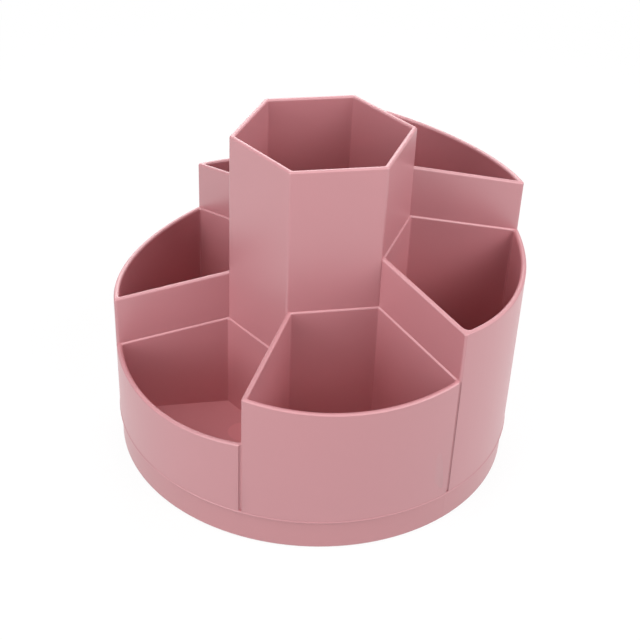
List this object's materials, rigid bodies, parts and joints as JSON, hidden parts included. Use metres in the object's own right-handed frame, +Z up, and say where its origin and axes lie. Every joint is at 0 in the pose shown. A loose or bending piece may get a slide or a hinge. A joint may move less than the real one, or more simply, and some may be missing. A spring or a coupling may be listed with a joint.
{
  "type": "desk organizer",
  "caption": "Round desk organizer: a hexagonal centre tube ringed by wedge-shaped compartments with sloping rims that step up to the back, turning on a low round base.",
  "frame": {"origin": "centre of the footprint, on the surface that the organizer stands on", "axes": "+Z up along the turning axis, -Y towards the lowest compartment, +X to the right"},
  "size_m": [0.1504, 0.1503, 0.1258],
  "materials": {
    "pink_plastic": "satin moulded, fine grain",
    "pink_base_plastic": "satin moulded, fine grain",
    "white_plastic": "smooth bearing plastic",
    "zinc_steel": "bright zinc plated",
    "bright_steel": "polished balls",
    "grey_rubber": "matte non-slip rubber"
  },
  "bodies": {
    "base": {"turntable_base": "pink_base_plastic", "pivot_bush": "white_plastic", "rubber_foot_1": "grey_rubber", "rubber_foot_2": "grey_rubber", "rubber_foot_3": "grey_rubber", "rubber_foot_4": "grey_rubber"},
    "carousel": {"organizer_body": "pink_plastic", "pivot_washer": "zinc_steel", "pivot_screw": "zinc_steel"},
    "ball_ring": {"ball_cage": "white_plastic", "bearing_ball_1": "bright_steel", "bearing_ball_2": "bright_steel", "bearing_ball_3": "bright_steel", "bearing_ball_4": "bright_steel", "bearing_ball_5": "bright_steel", "bearing_ball_6": "bright_steel", "bearing_ball_7": "bright_steel", "bearing_ball_8": "bright_steel", "bearing_ball_9": "bright_steel", "bearing_ball_10": "bright_steel", "bearing_ball_11": "bright_steel", "bearing_ball_12": "bright_steel"}
  },
  "joints": [
    {"name": "carousel_spin", "type": "hinge", "parent": "base", "child": "carousel", "pos_m": [0, 0, 0], "axis": [0, 0, 1], "continuous": true},
    {"name": "ball_ring_spin", "type": "hinge", "parent": "base", "child": "ball_ring", "pos_m": [0, 0, 0], "axis": [0, 0, 1], "continuous": true}
  ],
  "couplings": [
    {"joint": "ball_ring_spin", "follows": "carousel_spin", "ratio": 0.5}
  ]
}
